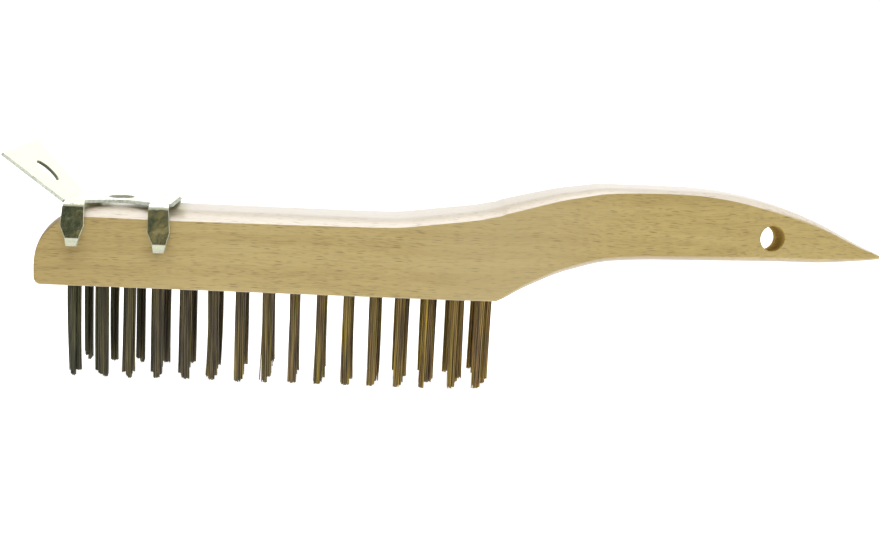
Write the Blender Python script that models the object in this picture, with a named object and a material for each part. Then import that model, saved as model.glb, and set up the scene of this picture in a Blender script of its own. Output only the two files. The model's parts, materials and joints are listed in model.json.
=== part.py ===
"""Shoe-handle wire brush with a clip-on scraper.

Metres, +Z up.  The wire tips stand on Z = 0, +X points to the tip of the handle, and the
toe of the block, with the scraper, is at -X.  X = 0 is the middle of the whole length.
"""
import math

import bmesh
import bpy
from mathutils import Vector

for old in list(bpy.data.objects):
    bpy.data.objects.remove(old, do_unlink=True)

# ---- driving dimensions ----------------------------------------------------------------
GAP = 0.0003                    # clearance kept between pieces that touch

# wooden block
BLOCK_WIDTH = 0.0250
BLOCK_HEIGHT = 0.0237           # over the part that carries the wire
TOE_RADIUS = 0.0172             # big round at the top of the toe
TOE_CORNER = 0.0020             # small round at the foot of the toe
CROWN_FALL = 0.0027             # crowned top down to the crisp edge of the side
CROWN_RUN = 0.0056              # how far in from the side the top starts to fall
CROWN_TOE = 0.0009              # both of these where the top runs down the toe
EDGE_SHARP = 0.0004             # edges of the flat face that carries the wire

# handle
HANDLE_LENGTH = 0.1224          # heel to tip
GRIP_DEPTH = 0.0225             # handle at its thickest, seen from the side
GRIP_WIDTH = 0.0182             # the same place, seen from above
GRIP_FALL = 0.0015              # crowned top of the grip down to its side
GRIP_CREST_FALL = 0.0010        # the same at the highest place of the grip
GRIP_RUN = 0.0042
FOOT_FALL = 0.0016              # underside of the grip up to its side
FOOT_RUN = 0.0028
TIP_ROUND = 0.0006
HANG_HOLE = 0.0079
HANG_HOLE_SETBACK = 0.0367      # hole centre to the tip of the handle
HANG_HOLE_DROP = 0.0020         # hole centre below the middle of the handle
HANG_HOLE_LEAN = math.radians(7.0)      # drilled out of square, lower at the rear

# wire
ROWS = 4
COLUMNS = 16
COLUMN_PITCH = 0.00815          # outer rows
INNER_PITCH = 0.00851           # the two inner rows are set a little wider
TOE_MARGIN = 0.00935            # first inner hole centre to the toe
HEEL_MARGIN = 0.0018            # last inner hole centre to the start of the heel
SIDE_MARGIN = 0.0032            # outer hole centres to the side of the block
TRIM = 0.0285                   # free length of the wire
TUFT_WIDTH = 0.0026             # across the flats of the packed tuft
HOLE_DEPTH = 0.0120
ANCHOR_HEIGHT = 0.0016          # anchor at the root of a tuft

# scraper clip
SHEET = 0.0010
CLIP_LIFT = 0.0011              # body of the clip above the wood, held there by its legs
CLIP_SETBACK = 0.0089           # bend line of the blade to the toe
BEND_RADIUS = 0.0015            # middle of the sheet
BLADE_BEND = 0.0009
LEG_WIDTH = 0.0057
LEG_SPACING = 0.0247            # leg centre to leg centre
TOE_LEG_EAR = 0.0012            # toe legs widen towards the toe on their way down
TOE_LEG_LEAN = -0.0001          # and their ends stand a little towards it
TOE_LEG_STRAIGHT = 0.0055
HEEL_LEG_EAR = 0.0005
HEEL_LEG_LEAN = 0.0004          # heel legs stand a little towards the heel
HEEL_LEG_STRAIGHT = 0.0065
LEG_TAPER = 0.0035
LEG_LEAD = 0.0021               # flared end that leads the clip over the wood
LEG_NECK_WIDTH = 0.0041
LEG_TIP_WIDTH = 0.0031
LEG_LEAD_ANGLE = math.radians(32.0)
LEG_LEAD_BEND = 0.0010          # middle of the sheet
WAIST_NOTCH = 0.0012            # step in from the leg bend to the waist
WAIST_DEPTH = 0.0036            # how far the waist curves in
BODY_HOLE = 0.0076
BODY_HOLE_SETBACK = 0.0008      # hole centre towards the toe from the middle of the body
BLADE_LENGTH = 0.02135          # bend line to cutting edge
BLADE_ANGLE = math.radians(42.3)
BLADE_SHOULDER = 0.0008         # each side, across the bend
BLADE_FLARE = 0.0080            # each side, from the bend to the cutting edge
BLADE_CORNER = 0.0008
BLADE_HOLE = 0.0080
BLADE_HOLE_SETBACK = 0.0106     # hole centre to the bend line
LIP_LENGTH = 0.0032
LIP_ANGLE = math.radians(42.0)

# ---- derived sizes -----------------------------------------------------------------------
HALF_WIDTH = BLOCK_WIDTH / 2
HOLE_WIDTH = TUFT_WIDTH + 2 * GAP
HEEL_X = TOE_MARGIN + (COLUMNS - 1) * INNER_PITCH + HEEL_MARGIN
LENGTH = HEEL_X + HANDLE_LENGTH
MIDDLE_COLUMN_X = TOE_MARGIN + (COLUMNS - 1) * INNER_PITCH / 2
ROW_PITCH = (BLOCK_WIDTH - 2 * SIDE_MARGIN) / (ROWS - 1)
CLIP_Z = BLOCK_HEIGHT + CLIP_LIFT + SHEET / 2
CLIP_SIDE = HALF_WIDTH + GAP + SHEET / 2
CLIP_BEND_Y = CLIP_SIDE - BEND_RADIUS
BLADE_REACH = BLADE_LENGTH * math.cos(BLADE_ANGLE) + SHEET / 2 * math.sin(BLADE_ANGLE)
CLIP_X = CLIP_SETBACK + BLADE_BEND * math.tan(BLADE_ANGLE / 2)     # flat body starts here
FRONT_X = CLIP_SETBACK - BLADE_REACH
SHIFT = Vector((-(LENGTH + FRONT_X) / 2, 0.0, TRIM))    # toe corner of the block in the world

CORNER_STEPS = 6                # facets in each rounded edge of the block
ROUND_STEPS = 32                # facets round a hole
TUFT_SIDES = 8


def smooth(points, x):
    """Height at x of the smooth curve through the points."""
    last = len(points) - 1
    if x <= points[0][0]:
        return points[0][1]
    if x >= points[last][0]:
        return points[last][1]
    i = max(k for k in range(last) if points[k][0] <= x)
    (x0, y0), (x1, y1) = points[i], points[i + 1]
    before = points[max(i - 1, 0)]
    after = points[min(i + 2, last)]
    slope0 = (y1 - before[1]) / (x1 - before[0])
    slope1 = (after[1] - y0) / (after[0] - x0)
    span = x1 - x0
    t = (x - x0) / span
    a = (1 + 2 * t) * (1 - t) ** 2
    b = t * (1 - t) ** 2
    c = t * t * (3 - 2 * t)
    d = t * t * (t - 1)
    return a * y0 + b * span * slope0 + c * y1 + d * span * slope1


def along(share):
    """X of a place on the handle, from 0 at the heel to 1 at the tip."""
    return HEEL_X + share * HANDLE_LENGTH


# Underside of the handle, then its depth: first over the block's height, then as grip.
UNDERSIDE = [(along(0.0), 0.0), (along(0.024), 0.0013), (along(0.057), 0.0036),
             (along(0.108), 0.0065), (along(0.156), 0.0090), (along(0.208), 0.0110),
             (along(0.257), 0.0126), (along(0.309), 0.0134), (along(0.411), 0.0141),
             (along(0.72), 0.0147), (along(0.84), 0.0147), (along(0.94), 0.0156),
             (along(1.0), 0.0163)]
DEPTH = [(HEEL_X - 0.0400, BLOCK_HEIGHT),
         (HEEL_X - 0.0300, BLOCK_HEIGHT + 0.0003),
         (HEEL_X - 0.0184, BLOCK_HEIGHT + 0.0018),
         (HEEL_X - 0.0063, BLOCK_HEIGHT + 0.0035),
         (along(0.008), BLOCK_HEIGHT + 0.0049),
         (along(0.057), BLOCK_HEIGHT + 0.0034),
         (along(0.108), BLOCK_HEIGHT + 0.0021),
         (along(0.156), BLOCK_HEIGHT + 0.0010),
         (along(0.208), GRIP_DEPTH * 1.055), (along(0.309), GRIP_DEPTH),
         (along(0.411), GRIP_DEPTH * 0.973), (along(0.514), GRIP_DEPTH * 0.955),
         (along(0.619), GRIP_DEPTH * 0.891), (along(0.725), GRIP_DEPTH * 0.751),
         (along(0.833), GRIP_DEPTH * 0.543), (along(0.943), GRIP_DEPTH * 0.213),
         (along(0.985), GRIP_DEPTH * 0.100), (along(1.0), GRIP_DEPTH * 0.055)]
PLAN = [(HEEL_X - 0.0130, HALF_WIDTH), (along(0.10), HALF_WIDTH - 0.0016),
        (along(0.309), GRIP_WIDTH * 0.50), (along(0.48), GRIP_WIDTH * 0.47),
        (along(0.62), GRIP_WIDTH * 0.395), (along(0.725), GRIP_WIDTH * 0.324),
        (along(0.83), GRIP_WIDTH * 0.25), (along(0.943), GRIP_WIDTH * 0.157),
        (along(0.985), GRIP_WIDTH * 0.10), (along(1.0), GRIP_WIDTH * 0.055)]
TOP_FALL = [(0.0, CROWN_TOE), (TOE_RADIUS, CROWN_FALL), (HEEL_X - 0.0800, CROWN_FALL),
            (HEEL_X - 0.0300, CROWN_FALL * 0.83), (along(0.05), CROWN_FALL * 0.80),
            (along(0.16), GRIP_FALL * 1.2), (along(0.25), GRIP_FALL),
            (along(0.38), GRIP_CREST_FALL), (along(0.48), GRIP_CREST_FALL),
            (along(0.66), GRIP_FALL * 1.25), (along(0.82), GRIP_FALL * 1.15),
            (along(0.92), GRIP_FALL * 0.8), (along(1.0), TIP_ROUND)]
TOP_RUN = [(0.0, CROWN_TOE), (TOE_RADIUS, CROWN_RUN), (HEEL_X - 0.0100, CROWN_RUN),
           (along(0.25), GRIP_RUN), (along(0.62), GRIP_RUN * 0.8), (along(0.85), GRIP_RUN * 0.5),
           (along(1.0), TIP_ROUND)]
FOOT_UP = [(HEEL_X, EDGE_SHARP), (along(0.06), FOOT_FALL * 0.8), (along(0.16), FOOT_FALL),
           (along(0.85), FOOT_FALL), (along(1.0), TIP_ROUND)]
FOOT_IN = [(HEEL_X, EDGE_SHARP), (along(0.06), FOOT_RUN * 0.6), (along(0.16), FOOT_RUN),
           (along(0.85), FOOT_RUN * 0.7), (along(1.0), TIP_ROUND)]


def block_bottom(x):
    if x < TOE_CORNER:
        return TOE_CORNER - math.sqrt(TOE_CORNER ** 2 - (TOE_CORNER - x) ** 2)
    return smooth(UNDERSIDE, x)


def block_top(x):
    if x < TOE_RADIUS:
        rise = math.sqrt(TOE_RADIUS ** 2 - (TOE_RADIUS - x) ** 2)
        return BLOCK_HEIGHT - TOE_RADIUS + rise
    return block_bottom(x) + smooth(DEPTH, x)


def edge_curve(run, fall):
    """Arc from the side to where the top or underside is flat, seen from the corner."""
    run = max(run, fall)
    radius = (run ** 2 + fall ** 2) / (2 * fall)
    turn = math.asin(min(1.0, run / radius))
    if fall >= run * 0.999:
        turn = math.radians(90.0)
    points = []
    for step in range(CORNER_STEPS + 1):
        angle = turn * (1 - step / CORNER_STEPS)
        points.append((run - radius * math.sin(angle), radius * (1 - math.cos(angle))))
    return points


def block_section(x):
    """Points round the block at x: straight sides, crowned top, eased underside."""
    low, high, half = block_bottom(x), block_top(x), smooth(PLAN, x)
    room, tall = 0.98 * half, 0.49 * (high - low)
    top = edge_curve(min(smooth(TOP_RUN, x), room), min(smooth(TOP_FALL, x), room, tall))
    foot = edge_curve(min(smooth(FOOT_IN, x), room), min(smooth(FOOT_UP, x), room, tall))
    points = [(half - inset, low + rise) for inset, rise in reversed(foot)]
    points += [(half - inset, high - drop) for inset, drop in top]
    points += [(inset - half, high - drop) for inset, drop in reversed(top)]
    points += [(inset - half, low + rise) for inset, rise in foot]
    return [(x, y, z) for y, z in points]


def block_stations():
    """X of each section: close together where the outline curves."""
    toe = [TOE_RADIUS * (1 - math.cos(math.radians(a))) for a in range(0, 91, 6)]
    toe += [TOE_CORNER * (1 - math.cos(math.radians(a))) for a in (45, 67, 90)]
    flat_end = HEEL_X - 0.0400
    flat = [TOE_RADIUS + (flat_end - TOE_RADIUS) * k / 3 for k in (1, 2, 3)]
    rise = [flat_end + 0.0400 * k / 14 for k in range(1, 15)]
    handle = [along(k / 48) for k in range(1, 48)]
    tip = [along(0.012), along(0.075), along(0.975), along(0.990), along(1.0)]
    return sorted(toe + flat + rise + handle + tip)


def make_object(name, mesh_data, colour, roughness, metallic):
    """Object called name, with its own material."""
    mesh = bpy.data.meshes.new(name)
    bmesh.ops.recalc_face_normals(mesh_data, faces=mesh_data.faces)
    mesh_data.to_mesh(mesh)
    mesh_data.free()
    obj = bpy.data.objects.new(name, mesh)
    bpy.context.scene.collection.objects.link(obj)
    material = bpy.data.materials.new(name)
    material.use_nodes = True
    shader = material.node_tree.nodes["Principled BSDF"]
    shader.inputs["Base Color"].default_value = (*colour, 1.0)
    shader.inputs["Roughness"].default_value = roughness
    shader.inputs["Metallic"].default_value = metallic
    mesh.materials.append(material)
    return obj


def cut(obj, cutter, name):
    """Cut the hidden cutter out of the object."""
    cutter.hide_render = True
    cutter.display_type = "WIRE"
    modifier = obj.modifiers.new(name, "BOOLEAN")
    modifier.operation = "DIFFERENCE"
    modifier.solver = "EXACT"
    modifier.object = cutter


def add_prism(mesh_data, centre, width, low, high, sides=TUFT_SIDES):
    """Upright prism with its flats facing along X and Y; returns its rings from low to high."""
    radius = width / 2 / math.cos(math.pi / sides)
    rings = []
    for z in (low, high):
        ring = []
        for k in range(sides):
            angle = 2 * math.pi * (k + 0.5) / sides
            place = (centre[0] + radius * math.cos(angle), centre[1] + radius * math.sin(angle), z)
            ring.append(mesh_data.verts.new(place))
        rings.append(ring)
    return rings


def close_prism(mesh_data, rings, skip=None):
    """Sides and ends of the prism; one side of the last storey may be left open."""
    mesh_data.faces.new(list(reversed(rings[0])))
    mesh_data.faces.new(rings[-1])
    count = len(rings[0])
    for storey in range(len(rings) - 1):
        lower, upper = rings[storey], rings[storey + 1]
        for k in range(count):
            if storey == len(rings) - 2 and k == skip:
                continue
            n = (k + 1) % count
            mesh_data.faces.new((lower[k], lower[n], upper[n], upper[k]))


# ---- where the tufts stand -----------------------------------------------------------------
def row_y(row):
    return (row - (ROWS - 1) / 2) * ROW_PITCH


def column_x(column, row):
    pitch = COLUMN_PITCH if row in (0, ROWS - 1) else INNER_PITCH
    return MIDDLE_COLUMN_X + (column - (COLUMNS - 1) / 2) * pitch


# ---- wooden block ----------------------------------------------------------------------------
def make_block():
    mesh_data = bmesh.new()
    rings = []
    for x in block_stations():
        rings.append([mesh_data.verts.new(point) for point in block_section(x)])
    for ring, following in zip(rings, rings[1:]):
        for k in range(len(ring)):
            n = (k + 1) % len(ring)
            mesh_data.faces.new((ring[k], ring[n], following[n], following[k]))
    mesh_data.faces.new(rings[0])
    mesh_data.faces.new(rings[-1])
    block = make_object("wood_block", mesh_data, (0.52, 0.37, 0.17), 0.55, 0.0)
    block.location = SHIFT
    cut(block, make_tuft_holes(), "tuft holes")
    cut(block, make_hang_hole(), "hang hole")
    return block


def make_tuft_holes():
    """All blind holes, with the slot that takes the anchor between each inner pair."""
    mesh_data = bmesh.new()
    below = -0.0020
    slot_low = HOLE_DEPTH - ANCHOR_HEIGHT - 2 * GAP
    for column in range(COLUMNS):
        for row in range(ROWS):
            centre = (column_x(column, row), row_y(row))
            inner = row in (1, 2)
            rings = add_prism(mesh_data, centre, HOLE_WIDTH, below, HOLE_DEPTH)
            if not inner:
                close_prism(mesh_data, rings)
                continue
            rings.insert(1, [mesh_data.verts.new((v.co.x, v.co.y, slot_low)) for v in rings[0]])
            facing = facing_side(row)
            close_prism(mesh_data, rings, skip=facing)
            if row == 1:
                first = rings
            else:
                join_storeys(mesh_data, first, rings)
    cutter = make_object("tuft_hole_cutter", mesh_data, (0.3, 0.2, 0.1), 0.8, 0.0)
    cutter.location = SHIFT
    return cutter


def facing_side(row):
    """Number of the prism side that looks at the other inner row."""
    return TUFT_SIDES // 4 - 1 if row == 1 else 3 * TUFT_SIDES // 4 - 1


def join_storeys(mesh_data, first, second):
    """Four faces between the open sides of the top storeys of two prisms."""
    a, b = facing_side(1), facing_side(2)
    near = (first[1][a], first[1][a + 1], first[2][a + 1], first[2][a])
    far = (second[1][b + 1], second[1][b], second[2][b], second[2][b + 1])
    for k in range(4):
        n = (k + 1) % 4
        mesh_data.faces.new((near[k], near[n], far[n], far[k]))


def make_hang_hole():
    x = LENGTH - HANG_HOLE_SETBACK
    z = (block_bottom(x) + block_top(x)) / 2 - HANG_HOLE_DROP
    mesh_data = bmesh.new()
    bmesh.ops.create_cone(mesh_data, cap_ends=True, segments=ROUND_STEPS, radius1=HANG_HOLE / 2,
                          radius2=HANG_HOLE / 2, depth=2 * BLOCK_WIDTH)
    cutter = make_object("hang_hole_cutter", mesh_data, (0.3, 0.2, 0.1), 0.8, 0.0)
    cutter.rotation_euler = (math.radians(90.0) - HANG_HOLE_LEAN, 0.0, 0.0)
    cutter.location = SHIFT + Vector((x, 0.0, z))
    return cutter


# ---- wire tufts --------------------------------------------------------------------------------
def make_single_tuft(name, column, row):
    mesh_data = bmesh.new()
    rings = add_prism(mesh_data, (0.0, 0.0), TUFT_WIDTH, -TRIM, HOLE_DEPTH - GAP)
    close_prism(mesh_data, rings)
    tuft = make_object(name, mesh_data, (0.075, 0.06, 0.035), 0.4, 1.0)
    tuft.location = SHIFT + Vector((column_x(column, row), row_y(row), 0.0))


def make_tuft_pair(name, column):
    """The tufts of rows 2 and 3 in one column, held by one anchor between their holes."""
    mesh_data = bmesh.new()
    stacks = []
    for row in (1, 2):
        centre = (0.0, row_y(row))
        rings = add_prism(mesh_data, centre, TUFT_WIDTH, -TRIM, HOLE_DEPTH - GAP)
        anchor_low = HOLE_DEPTH - GAP - ANCHOR_HEIGHT
        rings.insert(1, [mesh_data.verts.new((v.co.x, v.co.y, anchor_low)) for v in rings[0]])
        close_prism(mesh_data, rings, skip=facing_side(row))
        stacks.append(rings)
    join_storeys(mesh_data, *stacks)
    pair = make_object(name, mesh_data, (0.07, 0.055, 0.033), 0.4, 1.0)
    pair.location = SHIFT + Vector((column_x(column, 1), 0.0, 0.0))


def make_tufts():
    for column in range(COLUMNS):
        number = f"{column + 1:02d}"
        make_single_tuft("tuft_front_" + number, column, 0)
        make_tuft_pair("tuft_pair_" + number, column)
        make_single_tuft("tuft_rear_" + number, column, ROWS - 1)


# ---- scraper clip ------------------------------------------------------------------------------
def leg_places():
    """Front edge of the front legs, front edge of the back legs, back edge of the back legs."""
    return CLIP_X, CLIP_X + LEG_SPACING, CLIP_X + LEG_SPACING + LEG_WIDTH


def clip_outline():
    """Flat body of the clip seen from above, with a waist between the legs."""
    front, second, back = leg_places()
    waist_from, waist_to = front + LEG_WIDTH, second
    waist_y = CLIP_BEND_Y - WAIST_NOTCH
    side = [(waist_from, CLIP_BEND_Y)]
    steps = 16
    for k in range(steps + 1):
        bow = math.sin(math.pi * k / steps)
        side.append((waist_from + (waist_to - waist_from) * k / steps, waist_y - WAIST_DEPTH * bow))
    side += [(waist_to, CLIP_BEND_Y), (back, CLIP_BEND_Y)]
    outline = [(front, -CLIP_BEND_Y)] + [(x, -y) for x, y in side]
    return outline + list(reversed(side)) + [(front, CLIP_BEND_Y)]


def fill_with_hole(mesh_data, outline, hole_centre, hole_size, place):
    """Flat panel with a round hole; place() turns panel coordinates into a 3-D point."""
    circle = []
    for k in range(ROUND_STEPS):
        angle = 2 * math.pi * k / ROUND_STEPS
        circle.append((hole_centre[0] + hole_size / 2 * math.cos(angle),
                       hole_centre[1] + hole_size / 2 * math.sin(angle)))
    edges = []
    for loop in (outline, circle):
        verts = [mesh_data.verts.new(place(u, v)) for u, v in loop]
        for k in range(len(verts)):
            edges.append(mesh_data.edges.new((verts[k], verts[(k + 1) % len(verts)])))
    bmesh.ops.triangle_fill(mesh_data, edges=edges, use_beauty=True)


def add_strip(mesh_data, rows):
    """Quads between successive pairs of points."""
    verts = [(mesh_data.verts.new(a), mesh_data.verts.new(b)) for a, b in rows]
    for (a, b), (c, d) in zip(verts, verts[1:]):
        mesh_data.faces.new((a, b, d, c))


def bend(radius, angle, steps):
    """Run and rise along the middle of the sheet at each step of a bend."""
    turns = [angle * k / steps for k in range(steps + 1)]
    return [(radius * math.sin(t), radius * (1 - math.cos(t))) for t in turns]


def add_leg(mesh_data, x0, side, ear, lean, straight):
    """Leg bent down over the side of the block, narrowed, with its end flared outwards."""
    curve = bend(BEND_RADIUS, math.radians(90.0), 8)
    rows = []
    for run, drop in curve:
        rows.append((run, drop, -ear / 2 * drop / BEND_RADIUS, LEG_WIDTH))
    out, down = curve[-1]
    down += straight
    rows.append((out, down, -ear, LEG_WIDTH + lean))
    middle = (LEG_WIDTH - ear) / 2 + lean
    down += LEG_TAPER
    flare = bend(LEG_LEAD_BEND, LEG_LEAD_ANGLE, 3)
    for rise, run in flare:
        rows.append((out + run, down + rise, middle - LEG_NECK_WIDTH / 2,
                     middle + LEG_NECK_WIDTH / 2))
    rise, run = flare[-1]
    out += run + LEG_LEAD * math.sin(LEG_LEAD_ANGLE)
    down += rise + LEG_LEAD * math.cos(LEG_LEAD_ANGLE)
    rows.append((out, down, middle - LEG_TIP_WIDTH / 2, middle + LEG_TIP_WIDTH / 2))
    strip = []
    for run, drop, front, back in rows:
        y = side * (CLIP_BEND_Y + run)
        z = CLIP_Z - drop
        strip.append(((x0 + front, y, z), (x0 + back, y, z)))
    add_strip(mesh_data, strip)


def add_blade(mesh_data):
    """Scraping blade, bent up from the front of the body and flared to its edge."""
    steps = 6
    strip = []
    for k, (run, rise) in enumerate(bend(BLADE_BEND, BLADE_ANGLE, steps)):
        half = CLIP_BEND_Y + BLADE_SHOULDER * k / steps
        strip.append(((CLIP_X - run, -half, CLIP_Z + rise), (CLIP_X - run, half, CLIP_Z + rise)))
    add_strip(mesh_data, strip)

    def place(distance, y):
        """Point on the middle of the blade, measured from the bend line."""
        return (CLIP_SETBACK - distance * math.cos(BLADE_ANGLE), y,
                CLIP_Z + distance * math.sin(BLADE_ANGLE))

    start = BLADE_BEND * math.tan(BLADE_ANGLE / 2)
    half = CLIP_BEND_Y + BLADE_SHOULDER
    wide = half + BLADE_FLARE
    outline = [(start, -half), (BLADE_LENGTH - BLADE_CORNER, -wide),
               (BLADE_LENGTH, BLADE_CORNER / 2 - wide), (BLADE_LENGTH, wide - BLADE_CORNER / 2),
               (BLADE_LENGTH - BLADE_CORNER, wide), (start, half)]
    fill_with_hole(mesh_data, outline, (BLADE_HOLE_SETBACK, 0.0), BLADE_HOLE, place)


def add_lip(mesh_data):
    """Short lip bent up from the back of the body, to lift the clip by."""
    back = leg_places()[2]
    rows = bend(BEND_RADIUS, LIP_ANGLE, 5)
    run, rise = rows[-1]
    rows.append((run + LIP_LENGTH * math.cos(LIP_ANGLE), rise + LIP_LENGTH * math.sin(LIP_ANGLE)))
    strip = []
    for run, rise in rows:
        strip.append(((back + run, CLIP_BEND_Y, CLIP_Z + rise),
                      (back + run, -CLIP_BEND_Y, CLIP_Z + rise)))
    add_strip(mesh_data, strip)


def make_scraper():
    front, second, back = leg_places()
    mesh_data = bmesh.new()
    hole_centre = ((front + back) / 2 - BODY_HOLE_SETBACK, 0.0)
    fill_with_hole(mesh_data, clip_outline(), hole_centre, BODY_HOLE,
                   lambda x, y: (x, y, CLIP_Z))
    for side in (-1, 1):
        add_leg(mesh_data, front, side, TOE_LEG_EAR, TOE_LEG_LEAN, TOE_LEG_STRAIGHT)
        add_leg(mesh_data, second, side, HEEL_LEG_EAR, HEEL_LEG_LEAN, HEEL_LEG_STRAIGHT)
    add_blade(mesh_data)
    add_lip(mesh_data)
    bmesh.ops.remove_doubles(mesh_data, verts=mesh_data.verts, dist=1e-6)
    scraper = make_object("scraper_clip", mesh_data, (0.75, 0.75, 0.72), 0.2, 1.0)
    scraper.location = SHIFT
    solid = scraper.modifiers.new("sheet", "SOLIDIFY")
    solid.thickness = SHEET
    solid.offset = 0.0
    solid.use_even_offset = True
    scraper.data.shade_smooth()
    scraper.data.set_sharp_from_angle(angle=math.radians(35.0))


make_block()
make_tufts()
make_scraper()
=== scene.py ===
"""Shoe-handle wire brush with its scraper clip, standing on its wire tips on a pale floor."""
import json
import math
import random

import bmesh
import bpy
from mathutils import Matrix, Vector
from mathutils.bvhtree import BVHTree


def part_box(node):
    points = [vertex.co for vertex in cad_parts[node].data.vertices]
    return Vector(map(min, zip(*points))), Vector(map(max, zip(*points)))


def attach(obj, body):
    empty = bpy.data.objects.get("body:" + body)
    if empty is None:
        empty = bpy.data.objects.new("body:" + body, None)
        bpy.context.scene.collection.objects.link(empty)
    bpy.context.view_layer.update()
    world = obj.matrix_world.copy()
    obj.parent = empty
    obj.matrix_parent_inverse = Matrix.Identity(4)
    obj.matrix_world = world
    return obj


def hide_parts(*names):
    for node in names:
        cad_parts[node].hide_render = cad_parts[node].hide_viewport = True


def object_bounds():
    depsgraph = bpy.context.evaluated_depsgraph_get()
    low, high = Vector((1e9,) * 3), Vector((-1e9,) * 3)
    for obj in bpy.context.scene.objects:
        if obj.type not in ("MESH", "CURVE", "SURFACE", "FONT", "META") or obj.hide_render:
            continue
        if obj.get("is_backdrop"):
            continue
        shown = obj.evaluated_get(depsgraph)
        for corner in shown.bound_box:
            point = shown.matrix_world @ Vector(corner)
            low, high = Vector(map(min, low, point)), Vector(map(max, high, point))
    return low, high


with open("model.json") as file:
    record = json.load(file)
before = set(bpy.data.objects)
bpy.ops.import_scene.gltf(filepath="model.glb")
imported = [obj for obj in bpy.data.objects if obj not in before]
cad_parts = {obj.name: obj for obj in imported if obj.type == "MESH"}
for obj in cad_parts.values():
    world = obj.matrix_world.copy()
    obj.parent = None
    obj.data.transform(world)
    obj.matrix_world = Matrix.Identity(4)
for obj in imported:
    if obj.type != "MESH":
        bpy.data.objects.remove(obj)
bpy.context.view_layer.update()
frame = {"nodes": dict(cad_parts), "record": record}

# ---- Camera ----------------------------------------------------------------------------
# A moderately long lens from one and a half brush lengths away, a little above the brush
# and turned slightly towards the handle.
camera_place = Vector((-0.03189, -0.40279, 0.11060))
camera_turn, camera_drop, camera_roll = (math.radians(a) for a in (3.801, 10.388, 3.022))
camera_data = bpy.data.cameras.new("camera")
camera_data.sensor_width = 36.0
camera_data.lens = 53.75
camera_data.clip_start = 0.01
camera = bpy.data.objects.new("camera", camera_data)
bpy.context.scene.collection.objects.link(camera)
camera.matrix_world = (Matrix.Translation(camera_place)
                       @ Matrix.Rotation(-camera_turn, 4, "Z")
                       @ Matrix.Rotation(math.radians(90.0) - camera_drop, 4, "X")
                       @ Matrix.Rotation(camera_roll, 4, "Z"))
bpy.context.scene.camera = camera


# ---- Floor and light ----------------------------------------------------------------------
# A lit white table and a white room, brighter behind the brush and above it than in front,
# with one broad soft box overhead.  The unlit front of the room is a low card that shows
# only in reflections.
def new_object(name, mesh_data):
    """Object at the origin that holds the finished bmesh."""
    mesh = bpy.data.meshes.new(name)
    mesh_data.to_mesh(mesh)
    mesh_data.free()
    made = bpy.data.objects.new(name, mesh)
    bpy.context.scene.collection.objects.link(made)
    return made


def new_material(name):
    """New material; returns it with its node tree and its Principled shader."""
    material = bpy.data.materials.new(name)
    material.use_nodes = True
    tree = material.node_tree
    return material, tree, tree.nodes["Principled BSDF"]


def add(tree, kind, **settings):
    """Node of a kind; keyword settings are attributes, or inputs by their label."""
    node = tree.nodes.new("ShaderNode" + kind)
    for key, value in settings.items():
        if hasattr(node, key):
            setattr(node, key, value)
        else:
            node.inputs[key.replace("_", " ")].default_value = value
    return node


def ramp(tree, source, stops):
    """Colour ramp over a value."""
    node = add(tree, "ValToRGB")
    while len(node.color_ramp.elements) < len(stops):
        node.color_ramp.elements.new(0.5)
    for element, (place, colour) in zip(node.color_ramp.elements, stops):
        element.position = place
        element.color = (*colour, 1.0)
    tree.links.new(source, node.inputs["Fac"])
    return node.outputs["Color"]


def spread(tree, source, low, high, to_low=0.0, to_high=1.0):
    """Value taken from one range to another, and held at its ends."""
    node = add(tree, "MapRange")
    node.inputs["From Min"].default_value = low
    node.inputs["From Max"].default_value = high
    node.inputs["To Min"].default_value = to_low
    node.inputs["To Max"].default_value = to_high
    tree.links.new(source, node.inputs["Value"])
    return node.outputs["Result"]


def mix(tree, blend, amount, first, second):
    """Mix of two colours; each value is a number, a colour or a socket."""
    node = add(tree, "Mix", data_type="RGBA", blend_type=blend)
    for socket, value in zip((node.inputs[0], node.inputs[6], node.inputs[7]),
                             (amount, first, second)):
        if isinstance(value, (int, float, tuple)):
            socket.default_value = value
        else:
            tree.links.new(value, socket)
    return node.outputs[2]


paper = bmesh.new()
bmesh.ops.create_grid(paper, x_segments=1, y_segments=1, size=6.0)
floor = new_object("floor", paper)
table_white, tree, shader = new_material("lit white table")
shader.inputs["Base Color"].default_value = (0.60, 0.60, 0.60, 1.0)
shader.inputs["Roughness"].default_value = 0.9
shader.inputs["Specular IOR Level"].default_value = 0.0
shader.inputs["Emission Color"].default_value = (1.0, 1.0, 1.0, 1.0)
shader.inputs["Emission Strength"].default_value = 0.90
floor.data.materials.append(table_white)
floor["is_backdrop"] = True

world = bpy.data.worlds.new("white room")
world.use_nodes = True
tree = world.node_tree
background = tree.nodes["Background"]
direction = add(tree, "SeparateXYZ")
tree.links.new(add(tree, "TexCoord").outputs["Generated"], direction.inputs["Vector"])
behind = spread(tree, direction.outputs["Y"], -0.35, 0.35, 0.50, 1.32)
above = spread(tree, direction.outputs["Z"], 0.25, 0.75, 0.0, 0.90)
depth_light = add(tree, "Math", operation="MAXIMUM")
tree.links.new(behind, depth_light.inputs[0])
tree.links.new(above, depth_light.inputs[1])
seen = add(tree, "LightPath").outputs["Is Camera Ray"]
strength = add(tree, "Mix", data_type="FLOAT")
tree.links.new(seen, strength.inputs[0])
tree.links.new(depth_light.outputs["Value"], strength.inputs[2])
strength.inputs[3].default_value = 1.2
tree.links.new(strength.outputs[0], background.inputs["Strength"])
background.inputs["Color"].default_value = (1.0, 1.0, 1.0, 1.0)
bpy.context.scene.world = world
bpy.context.scene.view_settings.view_transform = "Standard"

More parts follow.
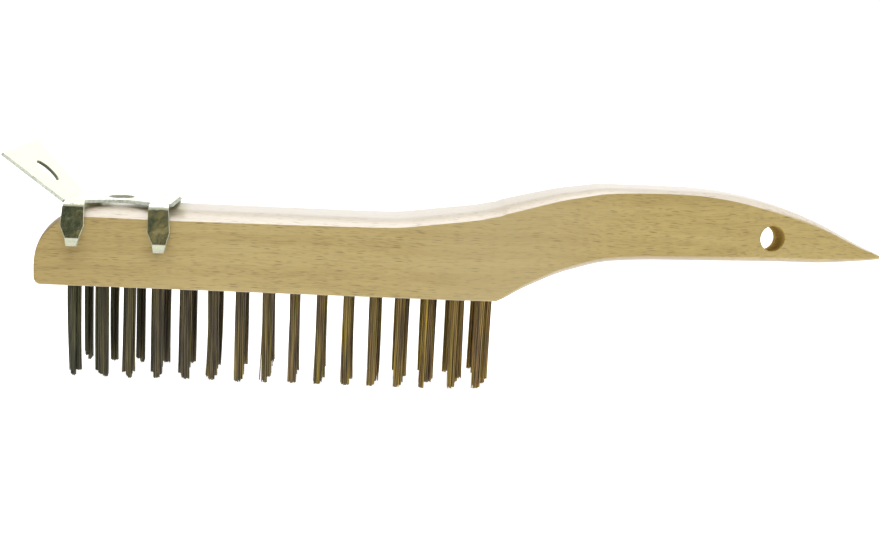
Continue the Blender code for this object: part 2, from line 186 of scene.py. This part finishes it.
lamp_data = bpy.data.lights.new("overhead soft box", "AREA")
lamp_data.shape = "SQUARE"
lamp_data.size = 0.7
lamp_data.energy = 5.0
lamp = bpy.data.objects.new("overhead soft box", lamp_data)
lamp.matrix_world = Matrix.Translation((0.02, -0.02, 0.95))
bpy.context.scene.collection.objects.link(lamp)

sheet = bmesh.new()
bmesh.ops.create_grid(sheet, x_segments=1, y_segments=1, size=1.0)
bmesh.ops.scale(sheet, vec=(1.1, 0.5, 1.0), verts=sheet.verts)
bmesh.ops.translate(sheet, vec=(0.0, -0.60, 0.001), verts=sheet.verts)
for vert in sheet.verts:
    if vert.co.y < -0.7:
        vert.co.z = 0.26
dark_card = new_object("dark_card", sheet)
dim_front, tree, shader = new_material("dim front")
across = add(tree, "SeparateXYZ")
tree.links.new(add(tree, "TexCoord").outputs["Object"], across.inputs["Vector"])
dim = ramp(tree, spread(tree, across.outputs["X"], -0.22, -0.02),
           [(0.0, (0.032, 0.047, 0.034)), (0.30, (0.044, 0.055, 0.036)),
            (0.50, (0.120, 0.102, 0.058)), (1.0, (0.160, 0.128, 0.066))])
patches = add(tree, "TexNoise", Scale=14.0, Detail=2.0)
uneven = ramp(tree, patches.outputs["Fac"], [(0.38, (0.45, 0.50, 0.55)),
                                             (0.52, (0.95, 1.0, 0.95)),
                                             (0.66, (2.6, 2.5, 2.2))])
shader.inputs["Base Color"].default_value = (0.0, 0.0, 0.0, 1.0)
shader.inputs["Specular IOR Level"].default_value = 0.0
lit = mix(tree, "MULTIPLY", 1.0, dim, uneven)
tree.links.new(lit, shader.inputs["Emission Color"])
shader.inputs["Emission Strength"].default_value = 1.0
dark_card.data.materials.append(dim_front)
dark_card.visible_camera = False
dark_card.visible_diffuse = False
dark_card.visible_shadow = False
dark_card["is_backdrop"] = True


# ---- Wooden block ---------------------------------------------------------------------------
# One piece of beech, bandsawn to the shoe-handle outline and drilled for the tufts and the
# hang hole.  Its top is sanded to a crown and the foot of the grip is eased, then it is sealed.
toe_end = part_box("wood_block")[0].x
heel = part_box("tuft_pair_16")[1].x
clip_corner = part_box("scraper_clip")[0]
leg_shadow_spots = (clip_corner.x + 0.0189, clip_corner.x + 0.0440)      # painted shadows on the wood below the legs of the clip
leg_shadow_height = clip_corner.z - 0.0002
leg_shadow_size = (0.0060, 1.0, 0.0045)


def merged_copy(node):
    """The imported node's own shape as a new mesh, with its triangles joined up."""
    mesh_data = bmesh.new()
    mesh_data.from_mesh(frame["nodes"][node].data)
    bmesh.ops.remove_doubles(mesh_data, verts=mesh_data.verts, dist=1e-6)
    bmesh.ops.dissolve_limit(mesh_data, angle_limit=math.radians(0.15), verts=mesh_data.verts,
                             edges=mesh_data.edges)
    return mesh_data


def stretched(tree, coords, period):
    """Coordinates counted in a period for each axis, in metres."""
    mapping = add(tree, "Mapping")
    mapping.inputs["Scale"].default_value = [1.0 / size for size in period]
    tree.links.new(coords, mapping.inputs["Vector"])
    return mapping.outputs["Vector"]


def product(tree, first, second):
    """Two values multiplied."""
    node = add(tree, "Math", operation="MULTIPLY")
    for socket, value in zip(node.inputs, (first, second)):
        if isinstance(value, float):
            socket.default_value = value
        else:
            tree.links.new(value, socket)
    return node.outputs["Value"]


def flecks(tree, coords, period, reach, share):
    """Short dashes along the grain: 1 inside a dash, 0 outside, with soft ends."""
    cells = add(tree, "TexVoronoi", feature="F1", Scale=1.0, Randomness=1.0)
    tree.links.new(stretched(tree, coords, period), cells.inputs["Vector"])
    dash = spread(tree, cells.outputs["Distance"], reach, reach * 0.45)
    pick = add(tree, "SeparateXYZ")
    tree.links.new(cells.outputs["Color"], pick.inputs["Vector"])
    kept = spread(tree, pick.outputs["X"], 1.0 - share, 1.0 - share * 0.4)
    return product(tree, dash, kept)


def beech_grain(tree, coords):
    """Silky growth bands, fibres and pore flecks; also the fibres and the dark flecks alone."""
    warp = add(tree, "TexNoise", Scale=1.0, Detail=3.0)
    tree.links.new(stretched(tree, coords, (0.045, 0.018, 0.018)), warp.inputs["Vector"])
    bent = add(tree, "VectorMath", operation="MULTIPLY_ADD")
    tree.links.new(warp.outputs["Color"], bent.inputs[0])
    bent.inputs[1].default_value = (0.0, 0.0055, 0.0055)
    tree.links.new(coords, bent.inputs[2])
    grain = bent.outputs["Vector"]

    bands = add(tree, "TexNoise", Scale=1.0, Detail=3.0, Roughness=0.55)
    tree.links.new(stretched(tree, grain, (0.110, 0.0034, 0.0028)), bands.inputs["Vector"])
    tone = ramp(tree, bands.outputs["Fac"], [(0.28, (0.405, 0.296, 0.094)),
                                             (0.50, (0.455, 0.341, 0.117)),
                                             (0.74, (0.490, 0.375, 0.139))])
    noise = add(tree, "TexNoise", Scale=1.0, Detail=5.0, Roughness=0.72)
    tree.links.new(stretched(tree, grain, (0.0075, 0.00042, 0.00038)), noise.inputs["Vector"])
    fibres = noise.outputs["Fac"]
    colour = mix(tree, "MULTIPLY", 0.85, tone, ramp(tree, fibres, [(0.28, (0.62, 0.57, 0.46)),
                                                                   (0.48, (0.97, 0.96, 0.94)),
                                                                   (0.66, (1.06, 1.05, 1.05))]))
    pores = flecks(tree, grain, (0.0060, 0.0012, 0.00050), 0.30, 0.70)
    colour = mix(tree, "MIX", product(tree, pores, 0.90), colour, (0.205, 0.138, 0.038, 1.0))
    fine = flecks(tree, grain, (0.0036, 0.0008, 0.00034), 0.32, 0.80)
    colour = mix(tree, "MIX", product(tree, fine, 0.75), colour, (0.230, 0.160, 0.048, 1.0))
    light = flecks(tree, grain, (0.0030, 0.0012, 0.00050), 0.28, 0.35)
    colour = mix(tree, "MIX", product(tree, light, 0.30), colour, (0.500, 0.400, 0.190, 1.0))
    return colour, fibres, pores, fine


def beech_tones(tree, coords, along, colour):
    """Browner toe and grip, greyer heel, and faint painted shadows on the wood below the legs of
    the clip.
    """
    toe = spread(tree, along, toe_end + 0.052, toe_end + 0.007)
    colour = mix(tree, "MULTIPLY", toe, colour, (0.90, 0.86, 0.74, 1.0))
    grip = spread(tree, along, heel + 0.0187, heel + 0.0487)
    colour = mix(tree, "MULTIPLY", grip, colour, (0.99, 0.98, 0.88, 1.0))
    # Painted shadow: a soft darker spot on the wood just below each leg of the clip.
    for shadow_spot in leg_shadow_spots:
        near = add(tree, "VectorMath", operation="DISTANCE")
        tree.links.new(stretched(tree, coords, leg_shadow_size), near.inputs[0])
        near.inputs[1].default_value = (shadow_spot / leg_shadow_size[0], 0.0, leg_shadow_height / leg_shadow_size[2])
        leg_shadow = spread(tree, near.outputs["Value"], 1.0, 0.2)
        colour = mix(tree, "MULTIPLY", product(tree, leg_shadow, 0.75), colour, (0.80, 0.76, 0.68, 1.0))
    greyed = product(tree, spread(tree, along, heel - 0.0313, heel - 0.0063),
                     spread(tree, along, heel + 0.0387, heel + 0.0087))
    return mix(tree, "MIX", product(tree, greyed, 0.30), colour, (0.455, 0.355, 0.172, 1.0))


def beech_by_facing(tree, along, grained):
    """Paler crown as a painted highlight of light from above, drabber underside, and a browner
    toe end: end grain with painted shade along its rounding.
    """
    colour, fibres, pores, fine = grained
    facing = add(tree, "SeparateXYZ")
    tree.links.new(add(tree, "TexCoord").outputs["Normal"], facing.inputs["Vector"])
    upwards = facing.outputs["Z"]
    # Painted highlight: the crown is drawn paler and whiter, most of all towards its edges, as if
    # strongly lit from above.
    sheen_and_wear = ramp(tree, upwards, [(0.62, (0.740, 0.675, 0.590)),
                                (0.90, (0.580, 0.520, 0.445)),
                                (1.00, (0.430, 0.380, 0.315))])
    marks = ramp(tree, fibres, [(0.30, (0.80, 0.76, 0.68)), (0.50, (1.0, 1.0, 1.0))])
    sheen_and_wear = mix(tree, "MULTIPLY", 0.9, sheen_and_wear, marks)
    sheen_and_wear = mix(tree, "MULTIPLY", product(tree, pores, 0.9), sheen_and_wear, (0.70, 0.60, 0.46, 1.0))
    sheen_and_wear = mix(tree, "MULTIPLY", product(tree, fine, 0.8), sheen_and_wear, (0.78, 0.70, 0.58, 1.0))
    # Share of the painted highlight on the faces turned upwards, left off the toe end.
    highlight_share = product(tree, spread(tree, upwards, 0.40, 0.58, 0.0, 0.85),
                     spread(tree, along, toe_end + 0.0065, toe_end + 0.0105))
    colour = mix(tree, "MIX", highlight_share, colour, sheen_and_wear)
    foot = spread(tree, upwards, -0.30, -0.80)
    colour = mix(tree, "MIX", product(tree, foot, 0.80), colour, (0.320, 0.262, 0.218, 1.0))
    # Faces turned towards the toe are browner: the end grain of the sawn toe, with painted shade
    # along its rounded edge.
    toe_grain_and_shade = spread(tree, facing.outputs["X"], -0.08, -0.45)
    return mix(tree, "MULTIPLY", toe_grain_and_shade, colour, (0.60, 0.53, 0.38, 1.0))


def beech(name, drilled_wall=False):
    """Pale beech with a clear satin seal; the wall of a drilled hole is bare and duller, and
    drawn a little darker as painted shade inside the hole.
    """
    material, tree, shader = new_material(name)
    coords = add(tree, "TexCoord").outputs["Object"]
    place = add(tree, "SeparateXYZ")
    tree.links.new(coords, place.inputs["Vector"])
    along = place.outputs["X"]
    colour, fibres, pores, fine = beech_grain(tree, coords)
    colour = beech_tones(tree, coords, along, colour)
    if drilled_wall:
        # Painted shade: the wall of a drilled hole is drawn a little darker than the open wood.
        colour = mix(tree, "MULTIPLY", 1.0, colour, (0.92, 0.88, 0.84, 1.0))
        shader.inputs["Specular IOR Level"].default_value = 0.0
    else:
        colour = beech_by_facing(tree, along, (colour, fibres, pores, fine))
        shader.inputs["Coat Weight"].default_value = 1.0
        shader.inputs["Coat Roughness"].default_value = 0.28
    tree.links.new(colour, shader.inputs["Base Color"])
    tree.links.new(spread(tree, fibres, 0.2, 0.8, 0.62, 0.44), shader.inputs["Roughness"])
    bump = add(tree, "Bump", Strength=0.35, Distance=0.00015)
    tree.links.new(fibres, bump.inputs["Height"])
    tree.links.new(bump.outputs["Normal"], shader.inputs["Normal"])
    return material


timber = merged_copy("wood_block")
opening = frame["record"]["physics"]["openings"][0]["box_m"]
hang_hole = (Vector(opening[0]) + Vector(opening[1])) / 2
hang_hole_reach = 0.0049
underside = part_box("wood_block")[0].z
first_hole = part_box("tuft_pair_01")[0].x - 0.0008
last_hole = heel + 0.0005
outer_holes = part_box("tuft_front_01")[0].y - 0.0008
hole_tops = underside + 0.0122


def drilled(face):
    """Whether a face of the block is the wall or the end of a drilled hole."""
    x, y, z = face.calc_center_median()
    if math.hypot(x - hang_hole.x, z - hang_hole.z) < hang_hole_reach:
        return abs(face.normal.y) < 0.5
    within = first_hole < x < last_hole and abs(y) < -outer_holes
    return within and underside + 0.0002 < z < hole_tops


for face in timber.faces:
    face.material_index = 1 if drilled(face) else 0
# The rounded mouth of the hang hole takes the wall's colour, its painted shade included.
mouths = []
for edge in timber.edges:
    kinds = {face.material_index for face in edge.link_faces}
    if len(kinds) == 2 and edge.verts[0].co.x > last_hole:
        mouths.append(edge)
bmesh.ops.bevel(timber, geom=mouths, offset=0.00018, offset_type="OFFSET", segments=2,
                profile=0.5, affect="EDGES", material=1)
for face in timber.faces:
    face.smooth = True
for edge in timber.edges:
    sawn_side = {abs(face.normal.z) < 0.02 and abs(face.normal.y) > 0.9
                 for face in edge.link_faces}
    edge.smooth = len(sawn_side) == 1 and edge.calc_face_angle(0.0) < math.radians(32.0)
block = new_object("beech_block", timber)
block.data.materials.append(beech("beech"))
block.data.materials.append(beech("drilled beech", drilled_wall=True))
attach(block, "brush")
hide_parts("wood_block")


# ---- Wire tufts ------------------------------------------------------------------------------
# Each tuft is a bundle of oil-tempered steel wires folded in two over a flat anchor, so its
# two halves part a little and end at slightly different lengths.
wire_thickness = 0.00034
bundle_radius = 0.00128
root_depth = 0.0040                # how far the drawn wires run up into their hole


def straight_wire():
    """One wire as a five-sided bar, standing on Z = 0, with rings to bend it at."""
    bar = bmesh.new()
    length = underside + root_depth
    bmesh.ops.create_cone(bar, cap_ends=True, segments=5, radius1=wire_thickness / 2,
                          radius2=wire_thickness / 2, depth=length,
                          matrix=Matrix.Translation((0.0, 0.0, length / 2)))
    upright = [edge for edge in bar.edges if edge.calc_length() > length / 2]
    bmesh.ops.subdivide_edges(bar, edges=upright, cuts=5)
    mesh = bpy.data.meshes.new("straight wire")
    bar.to_mesh(mesh)
    bar.free()
    return mesh


def packed_places(radius, spacing):
    """Hexagonal packing inside a circle."""
    places = []
    steps = int(radius / spacing) + 1
    for row in range(-steps, steps + 1):
        for column in range(-steps, steps + 1):
            place = Vector(((column + 0.5 * (row % 2)) * spacing, row * spacing * 0.866))
            if place.length <= radius:
                places.append(place)
    return places


def scatter(dice, size):
    """Small random shift to the side."""
    return Vector((dice.gauss(0.0, size), dice.gauss(0.0, size)))


def add_tuft(bundle, wire, centre, dice):
    """Wires standing in the hole at centre; each has its own end, lean and slight bow."""
    parting = dice.uniform(0.0, math.pi)
    across = Vector((math.cos(parting), math.sin(parting)))
    gap = dice.uniform(0.00002, 0.00016)
    lean = scatter(dice, 0.00022)
    bow = scatter(dice, 0.00010)
    half_lean = (scatter(dice, 0.00013), scatter(dice, 0.00013))
    half_short = [0.0, 0.0]
    half_short[dice.randrange(2)] = dice.choice((0.0, 0.0005, 0.0010, 0.0017))
    slant = scatter(dice, 0.30)
    for place in packed_places(bundle_radius, wire_thickness * 1.08):
        half = 0 if place.dot(across) < 0 else 1
        spot = place + across * (gap if half else -gap)
        short = half_short[half] + abs(dice.gauss(0.0, 0.00035)) + max(0.0, slant.dot(place))
        if dice.random() < 0.10:
            short += dice.uniform(0.0005, 0.0018)
        stray = scatter(dice, 0.00008)
        if dice.random() < 0.025:
            stray *= 5.0
        first = len(bundle.verts)
        bundle.from_mesh(wire)
        bundle.verts.ensure_lookup_table()
        for vert in bundle.verts[first:]:
            free = max(0.0, 1.0 - vert.co.z / underside)
            shift = (lean + half_lean[half] + stray) * free ** 1.4
            shift += bow * math.sin(math.pi * free)
            vert.co.x += centre[0] + spot.x + shift.x
            vert.co.y += centre[1] + spot.y + shift.y
            if vert.co.z < wire_thickness:
                vert.co.z += short


def tempered_wire():
    """Oil-tempered steel, grey towards the toe and bronzed towards the heel."""
    material, tree, shader = new_material("tempered wire")
    links = tree.links
    coords = add(tree, "TexCoord").outputs["Object"]
    place = add(tree, "SeparateXYZ")
    links.new(coords, place.inputs["Vector"])
    base = ramp(tree, spread(tree, place.outputs["X"], -0.115, 0.015),
                [(0.0, (0.090, 0.093, 0.068)), (0.30, (0.160, 0.142, 0.098)),
                 (0.70, (0.240, 0.197, 0.096)), (1.0, (0.290, 0.220, 0.098))])
    streaks = add(tree, "TexNoise", Scale=1.0, Detail=2.0, Roughness=0.6)
    links.new(stretched(tree, coords, (0.00032, 0.00032, 0.018)), streaks.inputs["Vector"])
    colour = mix(tree, "MULTIPLY", 1.0, base, ramp(tree, streaks.outputs["Fac"],
                                                   [(0.30, (0.42, 0.46, 0.42)),
                                                    (0.48, (0.92, 0.90, 0.84)),
                                                    (0.68, (1.80, 1.60, 1.25))]))
    temper = add(tree, "TexNoise", Scale=1.0, Detail=2.0, Roughness=0.5)
    links.new(stretched(tree, coords, (0.0011, 0.0011, 0.022)), temper.inputs["Vector"])
    bronzed = spread(tree, place.outputs["X"], -0.115, -0.040, 0.35, 1.0)
    colour = mix(tree, "MULTIPLY", bronzed, colour, ramp(tree, temper.outputs["Fac"],
                                                         [(0.34, (0.50, 0.52, 0.72)),
                                                          (0.44, (0.88, 0.76, 0.85)),
                                                          (0.54, (1.05, 1.02, 0.80)),
                                                          (0.68, (1.45, 1.35, 0.55))]))
    links.new(colour, shader.inputs["Base Color"])
    shader.inputs["Metallic"].default_value = 0.85
    links.new(spread(tree, streaks.outputs["Fac"], 0.2, 0.8, 0.30, 0.52),
              shader.inputs["Roughness"])
    return material


wire = straight_wire()
wire_finish = tempered_wire()
for row, kind in enumerate(("front", "pair", "rear")):
    for number in range(1, 17):
        node = f"tuft_{kind}_{number:02d}"
        low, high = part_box(node)
        reach = (high.x - low.x) / 2
        dice = random.Random(100 * row + number)
        bundle = bmesh.new()
        for y in sorted({round(low.y + reach, 6), round(high.y - reach, 6)}):
            add_tuft(bundle, wire, (low.x + reach, y), dice)
        tuft = new_object(f"wires_{kind}_{number:02d}", bundle)
        tuft.data.shade_smooth()
        tuft.data.set_sharp_from_angle(angle=math.radians(80.0))
        tuft.data.materials.append(wire_finish)
        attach(tuft, "brush")
        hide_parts(node)


# ---- Scraper clip ------------------------------------------------------------------------------
# One blank of spring steel, sheared and punched with two holes, bent and bright plated.  Its
# four legs grip the sides of the block, and the lip at the back lifts it off again.
def bright_plate():
    """Bright plating with a faint straw tint, fine wipe marks and soft waviness."""
    material, tree, shader = new_material("bright plate")
    links = tree.links
    coords = add(tree, "TexCoord").outputs["Object"]
    cloud = add(tree, "TexNoise", Scale=1.0, Detail=2.0)
    links.new(stretched(tree, coords, (0.012, 0.012, 0.006)), cloud.inputs["Vector"])
    links.new(ramp(tree, cloud.outputs["Fac"], [(0.35, (0.76, 0.80, 0.60)),
                                                (0.55, (0.82, 0.82, 0.61)),
                                                (0.70, (0.88, 0.85, 0.62))]),
              shader.inputs["Base Color"])
    shader.inputs["Metallic"].default_value = 1.0
    marks = add(tree, "TexNoise", Scale=1.0, Detail=3.0, Roughness=0.7)
    links.new(stretched(tree, coords, (0.0060, 0.00035, 0.0030)), marks.inputs["Vector"])
    links.new(spread(tree, marks.outputs["Fac"], 0.2, 0.8, 0.10, 0.24),
              shader.inputs["Roughness"])
    dents = add(tree, "TexNoise", Scale=1.0, Detail=3.0, Roughness=0.4)
    links.new(stretched(tree, coords, (0.0036, 0.0036, 0.0036)), dents.inputs["Vector"])
    bump = add(tree, "Bump", Strength=0.9, Distance=0.0004)
    links.new(dents.outputs["Fac"], bump.inputs["Height"])
    fine = add(tree, "Bump", Strength=0.06, Distance=0.0001)
    links.new(marks.outputs["Fac"], fine.inputs["Height"])
    links.new(bump.outputs["Normal"], fine.inputs["Normal"])
    links.new(fine.outputs["Normal"], shader.inputs["Normal"])
    return material


def sheared_edge(name, tone, shine):
    """Thickness of the sheet where it was cut: a smooth sheared band over a torn one."""
    material, tree, shader = new_material(name)
    links = tree.links
    coords = add(tree, "TexCoord").outputs["Object"]
    tear = add(tree, "TexNoise", Scale=1.0, Detail=3.0, Roughness=0.7)
    links.new(stretched(tree, coords, (0.0009, 0.0009, 0.0009)), tear.inputs["Vector"])
    dark = tuple(0.62 * value for value in tone)
    links.new(ramp(tree, tear.outputs["Fac"], [(0.32, dark), (0.60, tone)]),
              shader.inputs["Base Color"])
    shader.inputs["Metallic"].default_value = shine
    links.new(spread(tree, tear.outputs["Fac"], 0.2, 0.8, 0.60, 0.38),
              shader.inputs["Roughness"])
    bump = add(tree, "Bump", Strength=0.5, Distance=0.0001)
    links.new(tear.outputs["Fac"], bump.inputs["Height"])
    links.new(bump.outputs["Normal"], shader.inputs["Normal"])
    return material


blank = merged_copy("scraper_clip")
low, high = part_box("scraper_clip")
sheet_thickness = 0.0010
hole_reach = 0.0042                # the hole in the blade, either side of the middle plane
hole_from = low.x + 0.003
hole_to = low.x + 0.016
lip_end = high.x - 0.0012
inside = BVHTree.FromBMesh(blank)
for face in blank.faces:
    centre = face.calc_center_median()
    start = centre - face.normal * 1e-5
    through = inside.ray_cast(start, -face.normal)[3] or 0.0
    if through > 1.3 * sheet_thickness and centre.x < lip_end:
        # The wall of the hole in the blade takes a dark copy of the cut edge: painted shade
        # inside the hole.
        in_blade = hole_from < centre.x < hole_to and abs(centre.y) < hole_reach
        face.material_index = 2 if in_blade else 1
# The rolled rim at the mouth of the blade hole takes the same dark colour, so the painted shade
# reaches the rim.
rolled = [edge for edge in blank.edges
          if {face.material_index for face in edge.link_faces} == {0, 2}]
bmesh.ops.bevel(blank, geom=rolled, offset=0.00024, offset_type="OFFSET", segments=2,
                profile=0.5, affect="EDGES", material=2)
clip = new_object("plated_scraper", blank)
clip.data.materials.append(bright_plate())
clip.data.materials.append(sheared_edge("sheared edge", (0.66, 0.70, 0.60), 0.35))
# Dark copy of the cut edge, as painted shade inside the hole in the blade.
clip.data.materials.append(sheared_edge("painted shade in punched hole", (0.20, 0.22, 0.15), 0.80))
edge_round = clip.modifiers.new("worn edge", "BEVEL")
edge_round.width = 0.00007
edge_round.segments = 2
edge_round.limit_method = "ANGLE"
edge_round.angle_limit = math.radians(50.0)
clip.data.shade_smooth()
clip.data.set_sharp_from_angle(angle=math.radians(25.0))
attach(clip, "scraper")
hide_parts("scraper_clip")

low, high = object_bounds()
